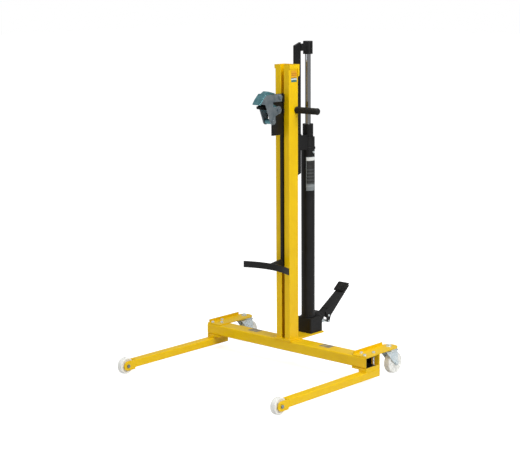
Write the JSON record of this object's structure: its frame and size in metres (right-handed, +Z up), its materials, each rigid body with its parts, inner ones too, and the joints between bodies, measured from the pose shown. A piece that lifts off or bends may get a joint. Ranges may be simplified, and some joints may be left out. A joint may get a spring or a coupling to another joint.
{
  "type": "hydraulic drum lifter",
  "caption": "Foot-pumped hydraulic lifter with a straddling wheeled chassis, slotted mast, sliding carriage, rim clamp and curved drum rest.",
  "frame": {"origin": "bottom centre of the bounding box, on the floor between the legs", "axes": "+Z up along the mast; -Y the way the legs and the clamp point; +X to the side, so the rollers and wheels spin about X"},
  "size_m": [1.0028, 1.0765, 1.516],
  "materials": {
    "yellow_paint": "gloss",
    "black_paint": "satin",
    "chrome_rod": "polished",
    "zinc": "bright zinc plate",
    "clamp_steel": "satin zinc plate",
    "white_nylon": "satin",
    "rubber": "matt"
  },
  "bodies": {
    "chassis": {"crossbeam": "yellow_paint", "leg_left": "yellow_paint", "leg_right": "yellow_paint", "roller_fork_left": "yellow_paint", "roller_fork_right": "yellow_paint", "roller_axles": "zinc", "leg_packers": "yellow_paint", "clamp_plates": "yellow_paint", "bracket_uprights": "yellow_paint", "castor_bracket_left": "yellow_paint", "castor_bracket_right": "yellow_paint", "bracket_bolts": "zinc", "castor_head_left": "zinc", "castor_head_right": "zinc", "foot_plate": "yellow_paint", "mast_channel_left": "yellow_paint", "mast_channel_right": "yellow_paint", "mast_collar": "yellow_paint", "handle_stubs": "black_paint", "handle_grip_left": "rubber", "handle_grip_right": "rubber", "pump_block": "black_paint", "ram_tube": "black_paint", "ram_gland": "black_paint", "ram_bracket": "black_paint", "bleed_plug": "zinc"},
    "front_roller_left": {"front_roller_left": "white_nylon"},
    "castor_fork_left": {"castor_fork_left": "zinc", "castor_axle_left": "zinc"},
    "castor_wheel_left": {"castor_wheel_left": "white_nylon"},
    "front_roller_right": {"front_roller_right": "white_nylon"},
    "castor_fork_right": {"castor_fork_right": "zinc", "castor_axle_right": "zinc"},
    "castor_wheel_right": {"castor_wheel_right": "white_nylon"},
    "carriage": {"ram_piston": "zinc", "ram_rod": "chrome_rod", "rod_head": "black_paint", "carriage_plate": "black_paint", "lifting_bar": "black_paint", "guide_axles": "zinc", "slide_pads": "black_paint", "clamp_cheek_left": "clamp_steel", "clamp_cheek_right": "clamp_steel", "clamp_hood": "clamp_steel", "clamp_bolts": "zinc", "drum_rest": "black_paint", "rest_arm": "black_paint"},
    "guide_roller_upper_left": {"guide_roller_upper_left": "zinc"},
    "guide_roller_upper_right": {"guide_roller_upper_right": "zinc"},
    "guide_roller_lower_left": {"guide_roller_lower_left": "zinc"},
    "guide_roller_lower_right": {"guide_roller_lower_right": "zinc"},
    "bumper_roller": {"bumper_roller": "zinc"},
    "clamp_jaw": {"clamp_jaw": "black_paint", "jaw_spring": "zinc"},
    "pedal": {"pedal_lever": "black_paint", "pedal_pad": "rubber", "lever_pins": "zinc", "pedal_spring": "zinc"},
    "pump_plunger": {"pump_plunger": "zinc"},
    "release_valve": {"release_valve": "black_paint"}
  },
  "joints": [
    {"name": "carriage_lift", "type": "slide", "parent": "chassis", "child": "carriage", "axis": [0, 0, 1], "range_m": [-0.315, 0.1]},
    {"name": "front_roller_spin_left", "type": "hinge", "parent": "chassis", "child": "front_roller_left", "pos_m": [-0.47375, -0.50075, 0.0375], "axis": [1, 0, 0], "continuous": true},
    {"name": "castor_swivel_left", "type": "hinge", "parent": "chassis", "child": "castor_fork_left", "pos_m": [-0.454, 0.29025, 0.12], "axis": [0, 0, 1], "continuous": true},
    {"name": "castor_wheel_spin_left", "type": "hinge", "parent": "castor_fork_left", "child": "castor_wheel_left", "pos_m": [-0.454, 0.32325, 0.05], "axis": [1, 0, 0], "continuous": true},
    {"name": "front_roller_spin_right", "type": "hinge", "parent": "chassis", "child": "front_roller_right", "pos_m": [0.47375, -0.50075, 0.0375], "axis": [1, 0, 0], "continuous": true},
    {"name": "castor_swivel_right", "type": "hinge", "parent": "chassis", "child": "castor_fork_right", "pos_m": [0.454, 0.29025, 0.12], "axis": [0, 0, 1], "continuous": true},
    {"name": "castor_wheel_spin_right", "type": "hinge", "parent": "castor_fork_right", "child": "castor_wheel_right", "pos_m": [0.454, 0.32325, 0.05], "axis": [1, 0, 0], "continuous": true},
    {"name": "guide_roller_spin_upper_left", "type": "hinge", "parent": "carriage", "child": "guide_roller_upper_left", "pos_m": [-0.0225, 0.1025, 1.24], "axis": [1, 0, 0], "continuous": true},
    {"name": "guide_roller_spin_upper_right", "type": "hinge", "parent": "carriage", "child": "guide_roller_upper_right", "pos_m": [0.0225, 0.1025, 1.24], "axis": [1, 0, 0], "continuous": true},
    {"name": "guide_roller_spin_lower_left", "type": "hinge", "parent": "carriage", "child": "guide_roller_lower_left", "pos_m": [-0.0225, 0.1025, 0.536], "axis": [1, 0, 0], "continuous": true},
    {"name": "guide_roller_spin_lower_right", "type": "hinge", "parent": "carriage", "child": "guide_roller_lower_right", "pos_m": [0.0225, 0.1025, 0.536], "axis": [1, 0, 0], "continuous": true},
    {"name": "bumper_roller_spin", "type": "hinge", "parent": "carriage", "child": "bumper_roller", "pos_m": [0, -0.01875, 1.164], "axis": [1, 0, 0], "continuous": true},
    {"name": "clamp_jaw_pivot", "type": "hinge", "parent": "carriage", "child": "clamp_jaw", "pos_m": [0, 0.02025, 1.214], "axis": [1, 0, 0], "range_deg": [0, 25], "stiffness_Nm_per_rad": 1.2, "springref_deg": -28.65},
    {"name": "pedal_stroke", "type": "hinge", "parent": "chassis", "child": "pedal", "pos_m": [0, 0.38025, 0.191], "axis": [1, 0, 0], "range_deg": [-30, 0], "stiffness_Nm_per_rad": 6, "springref_deg": 22.92},
    {"name": "plunger_slide", "type": "slide", "parent": "chassis", "child": "pump_plunger", "axis": [0, 1, 0], "range_m": [-0.014, 0]},
    {"name": "release_valve_turn", "type": "hinge", "parent": "chassis", "child": "release_valve", "pos_m": [-0.044, 0.25225, 0.164], "axis": [1, 0, 0], "range_deg": [0, 180]}
  ],
  "couplings": [
    {"joint": "guide_roller_spin_upper_left", "follows": "carriage_lift", "rad_per_m": 37.736},
    {"joint": "guide_roller_spin_upper_right", "follows": "carriage_lift", "rad_per_m": 37.736},
    {"joint": "guide_roller_spin_lower_left", "follows": "carriage_lift", "rad_per_m": 37.736},
    {"joint": "guide_roller_spin_lower_right", "follows": "carriage_lift", "rad_per_m": 37.736},
    {"joint": "plunger_slide", "follows": "pedal_stroke", "m_per_rad": 0.02622}
  ]
}
